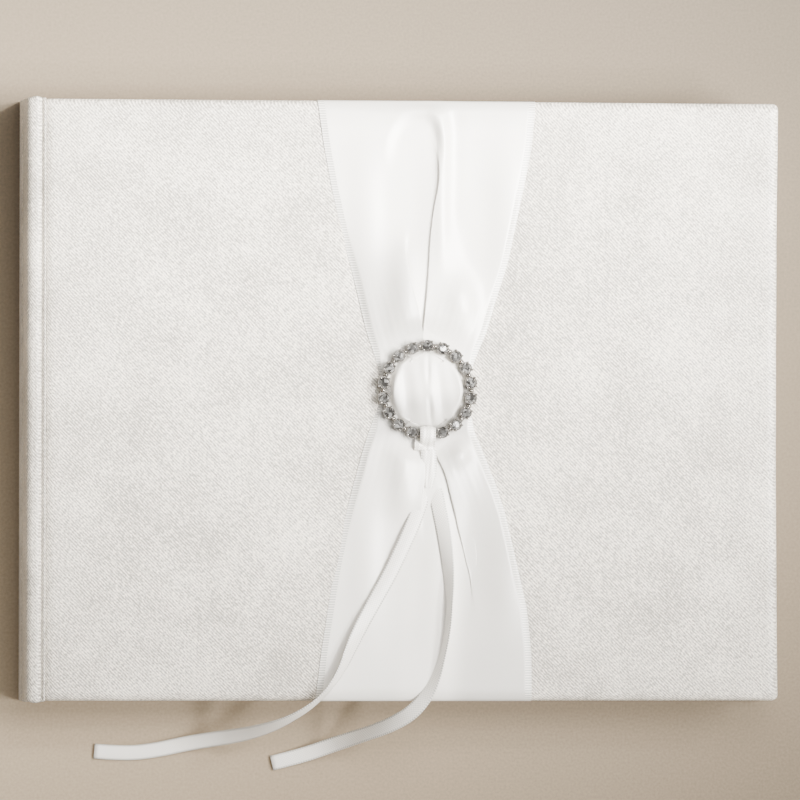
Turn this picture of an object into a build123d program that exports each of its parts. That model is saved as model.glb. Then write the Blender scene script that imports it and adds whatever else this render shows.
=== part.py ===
"""A padded, cloth-covered wedding guest book with a ribbon sash, a stone ring and a narrow ribbon tie.

It lies on its back cover. The origin is under the middle of the book, +X runs from the spine to the
fore edge, +Y to the head and +Z up through the front cover. All lengths are in millimetres.
"""

import math
import os

from build123d import *

# Overall sizes
cover_width = 222.0
cover_height = 175.4
book_thickness = 25.4

# Cover layers
cloth = 0.4
padding = 1.4
board = 2.2
paper = 0.2
edge_round = 1.7
corner_radius = 1.2
turn_in = 15.0
pastedown_margin = 3.0

# Hinges and spine
joint_width = 5.0
spine_thickness = 2.0
hinge_radius = 2.5
hinge_inset = 2.2
joint_clearance = 0.3
shoulder_round = 2.4
groove_width = 1.3
groove_depth = 0.9
gather_height = 0.6
gather_length = 5.0

# Text block
square = 3.0
block_gap = 0.05
leaf = 0.2
leaf_gap = 0.04
turning_leaves = 5
sections = 8
section_gap = 0.05
fold_round = 0.7
mull = 0.3
liner = 0.3
mull_margin = 12.0
thread_radius = 0.25
kerf_clearance = 0.15
station_places = (-0.38, -0.14, 0.14, 0.38)
band_cloth = 0.4
band_height = 8.0
bead_radius = 0.75

# Ribbon sash
sash_x = 6.3
sash_y = 3.0
sash_width = 63.5
sash_thickness = 0.3
sash_neck = 32.0
sash_rise = 1.4
sash_inside_ring = 16.0
gathered_thickness = 1.1
sash_turn_in = 2.8

# Stone ring
stones = 18
ring_radius = 13.05
stone_diameter = 3.0
cup_wall = 0.2
cup_height = 1.8
cup_floor = 0.4
stone_clearance = 0.05
prong_radius = 0.27
prong_rise = 0.55
rim_width = 1.6
rim_height = 0.8
ring_clearance = 0.2
bar_width = 3.0

# Narrow tie
tie_width = 4.4
tie_wrap = 0.6
tie_clearance = 0.1
knot_length = 3.349
knot_height = 2.6
knot_round = 0.5
tail_radius = 0.6
arc_share = 0.45

# Worked out once from the sizes above
spine_face = -cover_width / 2
fore_edge = cover_width / 2
half_height = cover_height / 2
cover_edge = spine_face + joint_width
cover_layers = cloth + padding + board + cloth + paper
cover_inside = book_thickness - cover_layers
axis_x = spine_face + hinge_inset
leaf_start = axis_x + hinge_radius
leaf_end = fore_edge - square
leaf_middle = (leaf_start + leaf_end) / 2
leaf_length = leaf_end - leaf_start
block_height = cover_height - 2 * square
leaf_pitch = leaf + leaf_gap
block_bottom = cover_layers + block_gap
block_top = cover_inside - block_gap
front_axis_z = block_top - (turning_leaves + 1) * leaf_pitch
back_axis_z = block_bottom
spine_top = front_axis_z + joint_clearance * 2
spine_bottom = back_axis_z - joint_clearance * 2
sections_bottom = block_bottom + leaf_pitch
section_pitch = (front_axis_z - sections_bottom) / sections
section_thickness = section_pitch - section_gap
board_end = cover_edge + cloth
board_tip = fore_edge - cloth
board_half = half_height - cloth
rim_bottom = book_thickness + gathered_thickness + ring_clearance
rim_top = rim_bottom + rim_height
cup_radius = stone_diameter / 2 + stone_clearance + cup_wall
cup_bottom = rim_top - cup_floor
cup_top = cup_bottom + cup_height
girdle_z = cup_top - 0.15
prong_top = cup_top + prong_rise
foot_y = sash_y - ring_radius

# Routes of the narrow tie's two tails, chosen by hand: over the cover, off its tail edge and onto the table
left_route = [
    (5.5, -15.9, 27.4),
    (5.6, -21.5, 27.0),
    (5.2, -28.0, 26.75),
    (2.6, -35.5, 26.7),
    (-0.6, -42.6, 26.75),
    (-4.4, -50.6, 26.7),
    (-8.7, -58.2, 26.75),
    (-12.6, -65.2, 26.9),
    (-15.9, -72.0, 27.2),
    (-18.6, -78.4, 27.7),
    (-22.8, -84.8, 28.2),
    (-28.2, -89.8, 27.3),
    (-34.5, -93.6, 23.6),
    (-40.5, -96.2, 17.6),
    (-46.5, -98.0, 10.8),
    (-53.4, -99.2, 4.8),
    (-61.5, -100.6, 1.1),
    (-70.5, -102.6, 0.75),
    (-79.5, -103.6, 0.65),
    (-88.5, -102.8, 0.65),
]
right_route = [
    (7.8, -15.9, 27.4),
    (8.2, -21.5, 27.0),
    (9.2, -28.5, 26.9),
    (10.9, -36.0, 27.2),
    (12.1, -44.5, 27.9),
    (12.9, -53.6, 28.3),
    (12.9, -62.2, 28.2),
    (11.9, -70.6, 27.6),
    (9.9, -78.4, 27.0),
    (6.9, -85.6, 27.0),
    (2.4, -91.2, 26.2),
    (-3.2, -94.8, 21.6),
    (-8.6, -97.2, 15.2),
    (-13.6, -99.2, 8.3),
    (-19.4, -101.4, 3.0),
    (-27.0, -104.2, 0.9),
    (-36.0, -106.4, 0.65),
]


def save(shape, name):
    export_step(shape, f"parts/{name}.step")


def block(x, y, z):
    """A box from its (low, high) pairs."""
    size = Box(x[1] - x[0], y[1] - y[0], z[1] - z[0])
    return Pos((x[0] + x[1]) / 2, (y[0] + y[1]) / 2, (z[0] + z[1]) / 2) * size


def slab(x, half_y, z, radius):
    """A flat slab, centred across y, with rounded upright corners."""
    plan = RectangleRounded(x[1] - x[0], 2 * half_y, radius)
    return Pos((x[0] + x[1]) / 2, 0, z[0]) * extrude(plan, z[1] - z[0])


def padded_slab(x, half_y, z, radius, rounding):
    """A slab whose upper edges are rounded over."""
    body = slab(x, half_y, z, radius)
    top = body.faces().sort_by(Axis.Z)[-1]
    return fillet(top.edges(), rounding)


def solid(shape):
    """The one solid of a boolean's result."""
    return shape.solids().sort_by(SortBy.VOLUME)[-1]


def lifted(shape, is_front):
    """A cover is built face up from z = 0 and set at the front, or turned over for the back."""
    if is_front:
        return Pos(0, 0, cover_inside) * shape
    return Pos(0, 0, cover_layers) * mirror(shape, about=Plane.XY)


# A cover's own heights, from the inner face of its pastedown
turn_in_z = paper
board_z = turn_in_z + cloth
padding_z = board_z + board
outer_z = padding_z + padding


def cover_board():
    return slab((board_end, board_tip), board_half, (board_z, padding_z), corner_radius - cloth)


def cover_padding():
    z = (padding_z, outer_z)
    return padded_slab((board_end, board_tip), board_half, z, corner_radius - cloth, edge_round - cloth)


def cover_cloth():
    """The cloth outside the board and wadding, over all four edges, and turned in on the inner face."""
    outside = padded_slab((cover_edge, fore_edge), half_height, (turn_in_z, outer_z + cloth), corner_radius, edge_round)
    inside = cover_board() + cover_padding()
    window = slab(
        (cover_edge + turn_in, fore_edge - turn_in), half_height - turn_in, (turn_in_z, board_z), corner_radius
    )
    return solid(outside - inside - window)


def cover_pastedown():
    """The sheet lies on the turn-ins and steps down to the board inside them."""
    x = (cover_edge, fore_edge - pastedown_margin)
    window_x = (cover_edge + turn_in, fore_edge - turn_in)
    window_y = half_height - turn_in
    sheet = slab(x, half_height - pastedown_margin, (0, turn_in_z), corner_radius)
    step = slab(window_x, window_y, (turn_in_z, board_z), corner_radius)
    hollow_x = (window_x[0] + paper, window_x[1] - paper)
    hollow = slab(hollow_x, window_y - paper, (0, board_z - paper), corner_radius - paper)
    return solid(sheet + step - hollow)


def joint_profile(end_z, edge_z):
    """Section of the doubled cloth at a hinge, from the spine's face over the shoulder to the cover's edge."""
    wall = 2 * cloth
    groove_x = cover_edge - groove_width
    with BuildSketch(Plane.XZ) as section:
        with BuildLine():
            Line((spine_face, end_z), (spine_face, edge_z - shoulder_round))
            RadiusArc(
                (spine_face, edge_z - shoulder_round),
                (spine_face + shoulder_round, edge_z),
                shoulder_round,
            )
            Polyline(
                (spine_face + shoulder_round, edge_z),
                (groove_x, edge_z),
                (groove_x + groove_width / 2, edge_z - groove_depth),
                (cover_edge, edge_z - groove_depth),
                (cover_edge, edge_z - groove_depth - wall),
                (groove_x, edge_z - groove_depth - wall),
                (groove_x - wall, edge_z - wall),
                (spine_face + shoulder_round, edge_z - wall),
            )
            RadiusArc(
                (spine_face + shoulder_round, edge_z - wall),
                (spine_face + wall, edge_z - shoulder_round),
                -(shoulder_round - wall),
            )
            Line((spine_face + wall, edge_z - shoulder_round), (spine_face + wall, end_z))
            Line((spine_face + wall, end_z), (spine_face, end_z))
        make_face()
    return section.sketch


def joint_cloth(end_z, edge_z):
    """The hinge's share of the cover cloth, with a small gather at the head and at the tail."""
    strip = extrude(joint_profile(end_z, edge_z), half_height, both=True)
    gather_x = (spine_face + 0.3, spine_face + gather_length)
    gather_z = (edge_z - shoulder_round - 1.2, edge_z - groove_depth)
    for side in (-1, 1):
        y = sorted((side * (half_height - cloth), side * (half_height + gather_height)))
        fold = block(gather_x, y, gather_z)
        face = fold.faces().sort_by(Axis.Y)[-1 if side > 0 else 0]
        strip = strip + fillet(face.edges(), gather_height - 0.1)
    return solid(strip)


def make_covers():
    for side, is_front in (("front", True), ("back", False)):
        save(lifted(cover_board(), is_front), f"{side}_board")
        save(lifted(cover_padding(), is_front), f"{side}_padding")
        save(lifted(cover_cloth(), is_front), f"{side}_cloth")
        save(lifted(cover_pastedown(), is_front), f"{side}_pastedown")
    save(joint_cloth(spine_top, book_thickness), "front_joint_cloth")
    low = joint_cloth(book_thickness - spine_bottom, book_thickness)
    turned = Pos(0, 0, book_thickness) * mirror(low, about=Plane.XY)
    save(turned, "back_joint_cloth")


def make_spine():
    board_x = (spine_face + cloth, spine_face + spine_thickness + cloth)
    z = (spine_bottom, spine_top)
    save(block(board_x, (-board_half, board_half), z), "spine_board")
    skin = block((spine_face, board_x[1]), (-half_height, half_height), z)
    core = block((board_x[0], board_x[1] + cloth), (-board_half, board_half), z)
    save(solid(skin - core), "spine_cloth")
    half_block = block_height / 2
    block_z = (sections_bottom, front_axis_z - section_gap)
    half_mull = half_block - mull_margin
    save(block((leaf_start - mull, leaf_start), (-half_mull, half_mull), block_z), "spine_mull")
    liner_x = (leaf_start - mull - liner, leaf_start - mull)
    save(block(liner_x, (-half_block, half_block), block_z), "spine_liner")
    for name, side in (("headband", 1), ("tailband", -1)):
        band_x = (liner_x[0] - band_cloth, liner_x[0])
        y = sorted((side * (half_block - band_height), side * half_block))
        strip = block(band_x, y, block_z)
        bead_y = side * (half_block + bead_radius)
        bead = Pos(leaf_start - bead_radius, bead_y, block_z[0])
        bead = bead * Cylinder(bead_radius, block_z[1] - block_z[0], align=(Align.CENTER, Align.CENTER, Align.MIN))
        y = sorted((side * half_block, bead_y))
        link = block((band_x[0], leaf_start - bead_radius), y, block_z)
        save(solid(strip + link + bead), name)


def section(z):
    """A gathering of folded leaves, rounded at its fold and notched for the sewing."""
    body = block((leaf_start, leaf_end), (-block_height / 2, block_height / 2), (z, z + section_thickness))
    fold = body.edges().filter_by(Axis.Y).group_by(Axis.X)[0]
    body = fillet(fold, fold_round)
    notch = 2 * (thread_radius + kerf_clearance)
    for place in station_places:
        y = place * block_height
        body = body - block((leaf_start, leaf_start + notch), (y - notch / 2, y + notch / 2), (z, z + section_pitch))
    return solid(body)


def make_text_block():
    for number in range(sections):
        save(section(sections_bottom + number * section_pitch), f"section_{number + 1}")
    stitches = []
    for place in station_places:
        spot = Pos(leaf_start + kerf_clearance + thread_radius, place * block_height, sections_bottom)
        length = front_axis_z - section_gap - sections_bottom
        stitches.append(spot * Cylinder(thread_radius, length, align=(Align.CENTER, Align.CENTER, Align.MIN)))
    save(Compound(children=stitches), "sewing_thread")
    save(sheet(block_bottom), "back_flyleaf")


def sheet(z):
    return slab((leaf_start, leaf_end), block_height / 2, (z, z + leaf), leaf)


def make_turning_leaves():
    for number in range(turning_leaves):
        low = front_axis_z + leaf_gap / 2 + (turning_leaves - 1 - number) * leaf_pitch
        save(sheet(low), f"leaf_{number + 1}")
    save(sheet(front_axis_z + leaf_gap / 2 + turning_leaves * leaf_pitch), "front_flyleaf")


def sash_outline():
    """Plan of the sash: full width at head and tail, drawn in to the ring and narrowest over its bar."""
    half = sash_width / 2
    neck = sash_neck / 2
    inside = sash_inside_ring / 2
    past = ring_radius + rim_width
    head = half_height + 2 * sash_thickness - sash_y
    tail = half_height + 2 * sash_thickness + sash_y
    upper = [(half, head), (half * 0.9, head * 0.7), (half * 0.71, head * 0.4), (neck, past), (inside, 0)]
    lower = [(neck, -past), (half * 0.74, -tail * 0.35), (half * 0.91, -tail * 0.6), (half, -tail)]
    right = upper + lower
    left = [(-x, y) for x, y in reversed(right)]
    down = (0, -1)
    up = (0, 1)
    with BuildLine() as edge:
        Spline(*right, tangents=(down, down))
        Line(right[-1], left[0])
        Spline(*left, tangents=(up, up))
        Line(left[-1], right[0])
    return Pos(sash_x, sash_y, 0) * make_face(edge.edges())


def sash_section():
    """Side view of the sash: tabs inside, round both edges, under the ring and over its bar."""
    top = book_thickness
    low = cover_inside + paper - sash_thickness
    crest = rim_top + ring_clearance
    bar = bar_width / 2 + ring_clearance
    rise = bar + gathered_thickness + sash_rise
    thin = top + sash_thickness
    thick = top + gathered_thickness
    near = ring_radius + rim_width
    far = ring_radius * 2.6
    edge = half_height + sash_thickness
    tab = half_height - sash_turn_in
    upper = [
        (-edge, thin),
        (sash_y - far, thin),
        (sash_y - near, thick),
        (sash_y - rise, thick),
        (sash_y - bar, crest + gathered_thickness),
        (sash_y + bar, crest + gathered_thickness),
        (sash_y + rise, thick),
        (sash_y + near, thick),
        (sash_y + far, thin),
        (edge, thin),
    ]
    under = [
        (edge, low),
        (tab, low),
        (tab, low + sash_thickness),
        (half_height, low + sash_thickness),
        (half_height, top),
        (sash_y + rise - gathered_thickness, top),
        (sash_y + bar, crest),
        (sash_y - bar, crest),
        (sash_y - rise + gathered_thickness, top),
        (-half_height, top),
        (-half_height, low + sash_thickness),
        (-tab, low + sash_thickness),
        (-tab, low),
        (-edge, low),
    ]
    section = Polygon(*upper, *under, align=None)
    outer = [v for v in section.vertices() if abs(v.Y - thin) < 1e-6 and abs(abs(v.X) - edge) < 1e-6]
    section = fillet(outer, edge_round + sash_thickness)
    inner = [v for v in section.vertices() if abs(v.Y - top) < 1e-6 and abs(abs(v.X) - half_height) < 1e-6]
    return fillet(inner, edge_round)


def make_sash():
    side = extrude(Plane.YZ * sash_section(), cover_width, both=True)
    plan = extrude(sash_outline(), 2 * book_thickness)
    save(solid(side & plan), "sash_ribbon")


def around_ring(number):
    """Place number on the ring, counted from its foot, facing out along the radius."""
    angle = -90 + number * 360 / stones
    return Pos(sash_x, sash_y, 0) * Rot(0, 0, angle) * Pos(ring_radius, 0, 0)


def cup():
    """A setting: a cup with a floor and four prongs."""
    base = Pos(0, 0, cup_bottom) * Cylinder(cup_radius, cup_height, align=(Align.CENTER, Align.CENTER, Align.MIN))
    seat_height = cup_height - cup_floor
    seat = Pos(0, 0, cup_bottom + cup_floor)
    seat = seat * Cylinder(cup_radius - cup_wall, seat_height, align=(Align.CENTER, Align.CENTER, Align.MIN))
    setting = base - seat
    for corner in range(4):
        reach = cup_radius + prong_radius * 0.3
        spot = Rot(0, 0, 45 + 90 * corner) * Pos(reach, 0, cup_bottom)
        height = prong_top - cup_bottom
        setting += spot * Cylinder(prong_radius, height, align=(Align.CENTER, Align.CENTER, Align.MIN))
    return setting


def make_ring():
    rim = Cylinder(ring_radius + rim_width / 2, rim_height, align=(Align.CENTER, Align.CENTER, Align.MIN))
    rim -= Cylinder(ring_radius - rim_width / 2, rim_height, align=(Align.CENTER, Align.CENTER, Align.MIN))
    frame = Pos(sash_x, sash_y, rim_bottom) * rim
    half_bar = ring_radius
    frame += block(
        (sash_x - half_bar, sash_x + half_bar),
        (sash_y - bar_width / 2, sash_y + bar_width / 2),
        (rim_bottom, rim_top),
    )
    setting = cup()
    for number in range(stones):
        frame += around_ring(number) * setting
    save(solid(frame), "buckle_frame")


def stone():
    """A cut stone: eight-sided crown and pavilion, flat on top."""
    girdle = RegularPolygon(stone_diameter / 2, 8)
    table = RegularPolygon(stone_diameter * 0.29, 8)
    culet = RegularPolygon(stone_diameter * 0.08, 8)
    crown_height = stone_diameter * 0.16
    pavilion_height = girdle_z - cup_bottom - cup_floor - stone_clearance
    crown = loft([Pos(0, 0, girdle_z) * girdle, Pos(0, 0, girdle_z + crown_height) * table])
    pavilion = loft([Pos(0, 0, girdle_z - pavilion_height) * culet, Pos(0, 0, girdle_z) * girdle])
    return solid(crown + pavilion)


def make_stones():
    cut = stone()
    save(Compound(children=[around_ring(number) * cut for number in range(stones)]), "buckle_crystals")


def make_tie_knot():
    """The narrow ribbon's wrap over the ring's foot, open below, with its knot outside the ring."""
    inner_half = cup_radius + prong_radius * 1.3 + tie_clearance
    inner_top = max(prong_top, girdle_z + stone_diameter * 0.16) + tie_clearance
    x = (sash_x - tie_width / 2, sash_x + tie_width / 2)
    low = book_thickness + gathered_thickness + tie_clearance
    y = (foot_y - inner_half - tie_wrap, foot_y + inner_half + tie_wrap)
    arch = block(x, y, (low, inner_top + tie_wrap))
    crown = arch.edges().filter_by(Axis.X).group_by(Axis.Z)[-1]
    arch = fillet(crown, tie_wrap * 2)
    passage = block(
        (x[0] - tie_width, x[1] + tie_width), (y[0] + tie_wrap, y[1] - tie_wrap), (low - tie_wrap, inner_top)
    )
    arch = arch - passage
    knot_end = y[0] + tie_wrap / 2
    knot = block(x, (knot_end - knot_length, knot_end), (low, low + knot_height))
    knot = fillet(knot.edges().filter_by(Axis.X).group_by(Axis.Z)[-1], knot_round)
    save(solid(arch + knot), "tie_knot")


def tail(route, name):
    """A tail's tube: straight runs joined by tangent arcs as large as the runs allow."""
    points = [Vector(*p) for p in route]
    radii = []
    for before, here, after in zip(points, points[1:], points[2:]):
        turn = (here - before).get_angle(after - here)
        shorter = min((here - before).length, (after - here).length)
        radii.append(arc_share * shorter / math.tan(math.radians(turn) / 2))
    line = FilletPolyline(*points, radius=radii)
    profile = Plane(origin=line @ 0, z_dir=line % 0) * Circle(tail_radius)
    tube = sweep(profile, path=line)
    expected = math.pi * tail_radius**2 * line.length
    print(name, "length", round(line.length, 1), "volume share", round(tube.volume / expected, 4))
    print(name, "arc radii", [round(r, 1) for r in radii])
    save(tube, name)


os.makedirs("parts", exist_ok=True)
make_covers()
make_spine()
make_text_block()
make_turning_leaves()
make_sash()
make_ring()
make_stones()
make_tie_knot()
tail(left_route, "tie_tail_left")
tail(right_route, "tie_tail_right")
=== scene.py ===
"""The looks of the wedding guest book: padded cloth covers, satin sash, stone ring, narrow tie and paper."""

import math

import bmesh
import bpy
import numpy as np
from mathutils import Matrix, Vector


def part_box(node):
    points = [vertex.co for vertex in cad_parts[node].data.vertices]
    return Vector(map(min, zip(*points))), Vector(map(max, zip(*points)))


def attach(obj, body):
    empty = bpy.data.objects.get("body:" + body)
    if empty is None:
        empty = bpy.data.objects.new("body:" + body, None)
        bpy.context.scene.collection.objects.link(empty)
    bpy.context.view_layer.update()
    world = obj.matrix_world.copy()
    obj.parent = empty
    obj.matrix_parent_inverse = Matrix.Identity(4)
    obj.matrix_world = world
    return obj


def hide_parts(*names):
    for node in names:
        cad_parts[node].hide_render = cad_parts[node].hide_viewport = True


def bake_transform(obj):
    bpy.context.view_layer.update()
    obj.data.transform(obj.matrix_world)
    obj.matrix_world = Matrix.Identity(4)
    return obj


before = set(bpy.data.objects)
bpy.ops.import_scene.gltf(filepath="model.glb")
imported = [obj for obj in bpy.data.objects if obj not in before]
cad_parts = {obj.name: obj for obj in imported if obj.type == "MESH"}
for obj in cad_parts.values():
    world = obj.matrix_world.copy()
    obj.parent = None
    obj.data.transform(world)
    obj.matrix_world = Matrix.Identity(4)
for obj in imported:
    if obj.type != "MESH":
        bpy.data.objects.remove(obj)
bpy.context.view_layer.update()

MM = 0.001


# ---------------------------------------------------------------- places, from the frame


def box_mm(node):
    """The low and high corners of a CAD node, in millimetres."""
    low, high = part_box(node)
    return [v / MM for v in low], [v / MM for v in high]


(COVER_X0, _, COVER_IN), (COVER_X1, HALF_H, COVER_TOP) = box_mm("front_cloth")
(SPINE_X, _, _), _ = box_mm("spine_cloth")
_, (_, _, BACK_IN) = box_mm("back_cloth")
(_, RING_Y0, RING_Z0), (_, RING_Y1, RING_TOP) = box_mm("buckle_frame")
(SASH_X0, _, _), (SASH_X1, _, _) = box_mm("sash_ribbon")
(LEAF_X0, _, _), (LEAF_X1, LEAF_Y, _) = box_mm("leaf_1")
SASH_X = (SASH_X0 + SASH_X1) / 2
RING_Y = (RING_Y0 + RING_Y1) / 2
SASH_W = SASH_X1 - SASH_X0
SASH_HALF = SASH_W / 2
# no node's box gives these, so they repeat the part's own values
RING_R = 13.05
STONES = 18
TIE_W = 4.4


# ---------------------------------------------------------------- camera


# fitted so that the four corners of the cover stand where they do in the photograph
camera_data = bpy.data.cameras.new("camera")
camera_data.sensor_width = 36
camera_data.lens = 461.7
camera_data.clip_end = 20
camera = bpy.data.objects.new("camera", camera_data)
bpy.context.scene.collection.objects.link(camera)
camera.location = (-0.405, -0.0491, 2.999)
aim = Vector((-0.0014, 0.0002, 0.0254)) - camera.location
across = aim.cross(Vector((0, 1, 0))).normalized()
above = across.cross(aim).normalized()
facing = Matrix((across, above, -aim.normalized())).transposed()
camera.rotation_euler = (facing @ Matrix.Rotation(0.0014, 3, "Z")).to_euler()
bpy.context.scene.camera = camera


# ---------------------------------------------------------------- small helpers


def link(obj):
    """Put an object into the scene."""
    bpy.context.scene.collection.objects.link(obj)
    return obj


def mesh_object(name, points, faces, material=None, smooth=True):
    """An object from points in millimetres."""
    mesh = bpy.data.meshes.new(name)
    mesh.from_pydata((np.array(points, float).reshape(-1, 3) * MM).tolist(), [], faces)
    mesh.validate()
    mesh.polygons.foreach_set("use_smooth", [smooth] * len(mesh.polygons))
    if material:
        mesh.materials.append(material)
    return link(bpy.data.objects.new(name, mesh))


def grid_faces(rows, cols, wrap=False, start=0):
    """Squares between rows of points, closed into a tube where they wrap."""
    faces = []
    for i in range(rows - 1):
        for j in range(cols if wrap else cols - 1):
            k = (j + 1) % cols
            a, b = start + i * cols, start + (i + 1) * cols
            faces.append((a + j, a + k, b + k, b + j))
    return faces


def put_uv(obj, uv):
    """Give each corner its point's pair of values."""
    mesh = obj.data
    layer = mesh.uv_layers.new(name="UVMap")
    index = np.empty(len(mesh.loops), int)
    mesh.loops.foreach_get("vertex_index", index)
    layer.data.foreach_set("uv", np.array(uv, np.float32).reshape(-1, 2)[index].ravel())


def thicken(obj, thickness):
    """Turn a sheet into a closed skin of that thickness, in millimetres, below its face."""
    modifier = obj.modifiers.new("thickness", "SOLIDIFY")
    modifier.thickness = thickness * MM
    modifier.offset = -1
    bake(obj)


def bake(obj):
    """Apply the object's modifiers to its mesh."""
    graph = bpy.context.evaluated_depsgraph_get()
    mesh = bpy.data.meshes.new_from_object(obj.evaluated_get(graph))
    obj.modifiers.clear()
    obj.data = mesh


def smoothstep(low, high, value):
    t = np.clip((np.asarray(value, float) - low) / (high - low), 0, 1)
    return t * t * (3 - 2 * t)


def smoothed(values, weights):
    """Values averaged with their neighbours by the weights, as if the end values ran on."""
    return np.convolve(np.pad(values, len(weights) // 2, mode="edge"), weights / weights.sum(), "valid")


def run_along(points):
    """How far along the line each of its points is."""
    steps = np.linalg.norm(np.diff(np.asarray(points, float), axis=0), axis=1)
    return np.concatenate([[0], np.cumsum(steps)])


def face_up(obj):
    """Turn a sheet over if its middle faces down."""
    faces = obj.data.polygons
    if faces[len(faces) // 2].normal.z < 0:
        obj.data.flip_normals()


# ---------------------------------------------------------------- materials


class Nodes:
    """A short way to write a node material."""

    def __init__(self, name):
        self.material = bpy.data.materials.new(name)
        self.material.use_nodes = True
        self.tree = self.material.node_tree
        self.shader = self.tree.nodes["Principled BSDF"]

    def add(self, kind, inputs=None, **settings):
        node = self.tree.nodes.new(kind)
        for key, value in settings.items():
            setattr(node, key, value)
        for key, value in (inputs or {}).items():
            self.give(node.inputs[key], value)
        return node

    def give(self, socket, value):
        if isinstance(value, bpy.types.NodeSocket):
            self.tree.links.new(value, socket)
        else:
            socket.default_value = value

    def math(self, operation, a, b=0.0, c=0.0):
        node = self.add("ShaderNodeMath", {0: a, 1: b, 2: c}, operation=operation)
        return node.outputs[0]

    def wave(self, value, pitch):
        """A sine with that distance from crest to crest."""
        return self.math("SINE", self.math("MULTIPLY", value, 2 * math.pi / pitch))

    def ramp(self, value, low, high, start=0.0, end=1.0, kind="LINEAR"):
        """Map the stretch from start to end to the numbers from low to high."""
        span = {"From Min": start, "From Max": end, "To Min": low, "To Max": high}
        node = self.add("ShaderNodeMapRange", {"Value": value, **span}, interpolation_type=kind)
        return node.outputs["Result"]

    def mix(self, factor, a, b, blend="MIX"):
        node = self.add("ShaderNodeMix", data_type="RGBA", blend_type=blend)
        self.give(node.inputs["Factor"], factor)
        self.give(node.inputs["A"], a)
        self.give(node.inputs["B"], b)
        return node.outputs["Result"]

    def shaded(self, colour, shade):
        """A colour made darker or lighter by a number."""
        tone = self.add("ShaderNodeCombineColor", {0: shade, 1: shade, 2: shade}).outputs[0]
        return self.mix(1.0, colour, tone, "MULTIPLY")

    def noise(self, place, scale, detail=3.0, rough=0.5):
        settings = {"Vector": place, "Scale": scale, "Detail": detail, "Roughness": rough}
        return self.add("ShaderNodeTexNoise", settings).outputs["Fac"]

    def bump(self, height, distance, strength=1.0, normal=None):
        node = self.add("ShaderNodeBump", {"Height": height, "Distance": distance, "Strength": strength})
        if normal is not None:
            self.give(node.inputs["Normal"], normal)
        return node.outputs["Normal"]

    def finish(self, **inputs):
        for key, value in inputs.items():
            self.give(self.shader.inputs[key.replace("_", " ")], value)
        return self.material


RIB_PITCH = 1.05


def shimmer_twill(name):
    """White shimmering twill: fine diagonal ribs, with glitter and cloudy patches of sheen painted into its
    colour as painted glints and painted sheen.
    """
    m = Nodes(name)
    place = m.add("ShaderNodeTexCoord").outputs["Object"]
    x, y, z = m.add("ShaderNodeSeparateXYZ", {0: place}).outputs
    # painted sheen: cloudy patches of the colour made lighter or darker, and also rougher or smoother
    cloud = m.noise(place, 42, 4, 0.65)
    across = m.math("ADD", m.math("ADD", x, y), z)
    along = m.math("MULTIPLY", m.math("SUBTRACT", x, y), 0.55)
    lengthwise = m.add("ShaderNodeCombineXYZ", {0: across, 1: along, 2: z}).outputs[0]
    streak = m.ramp(m.noise(lengthwise, 1500, 1), -0.35, 1.35)
    wobble = m.noise(place, 500, 2)
    phase = m.math("MULTIPLY", across, 2 * math.pi / (RIB_PITCH * MM))
    phase = m.math("ADD", phase, m.math("MULTIPLY", wobble, 2.6))
    rib = m.ramp(m.math("SINE", phase), 0.3, 0.7)
    # painted glints: tiny cells of the colour made lighter or darker to stand for glitter
    grain = m.add("ShaderNodeTexVoronoi", {"Vector": place, "Scale": 2200.0})
    painted_glint = m.add("ShaderNodeSeparateColor", {0: grain.outputs["Color"]}).outputs[0]
    shade = m.math("ADD", m.ramp(rib, 0.02, 1.26), m.ramp(streak, -0.36, 0.42))
    shade = m.math("ADD", shade, m.ramp(cloud, -0.44, 0.46))
    shade = m.math("ADD", shade, m.ramp(painted_glint, -0.10, 0.20))
    shade = m.math("MINIMUM", m.math("MAXIMUM", shade, 0.34), 1.14)
    rough = m.math("ADD", m.ramp(streak, 0.26, 0.58), m.ramp(cloud, 0.08, -0.08))
    height = m.math("ADD", rib, m.math("MULTIPLY", streak, 0.6))
    normal = m.bump(height, 0.00012, 0.8)
    return m.finish(
        Base_Color=m.shaded((0.87, 0.80, 0.69, 1), shade),
        Roughness=rough,
        Normal=normal,
        Sheen_Weight=0.25,
        Sheen_Roughness=0.35,
        Specular_IOR_Level=0.55,
    )


THREAD_PITCH = 0.36
CHECK_PITCH = 0.8


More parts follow.
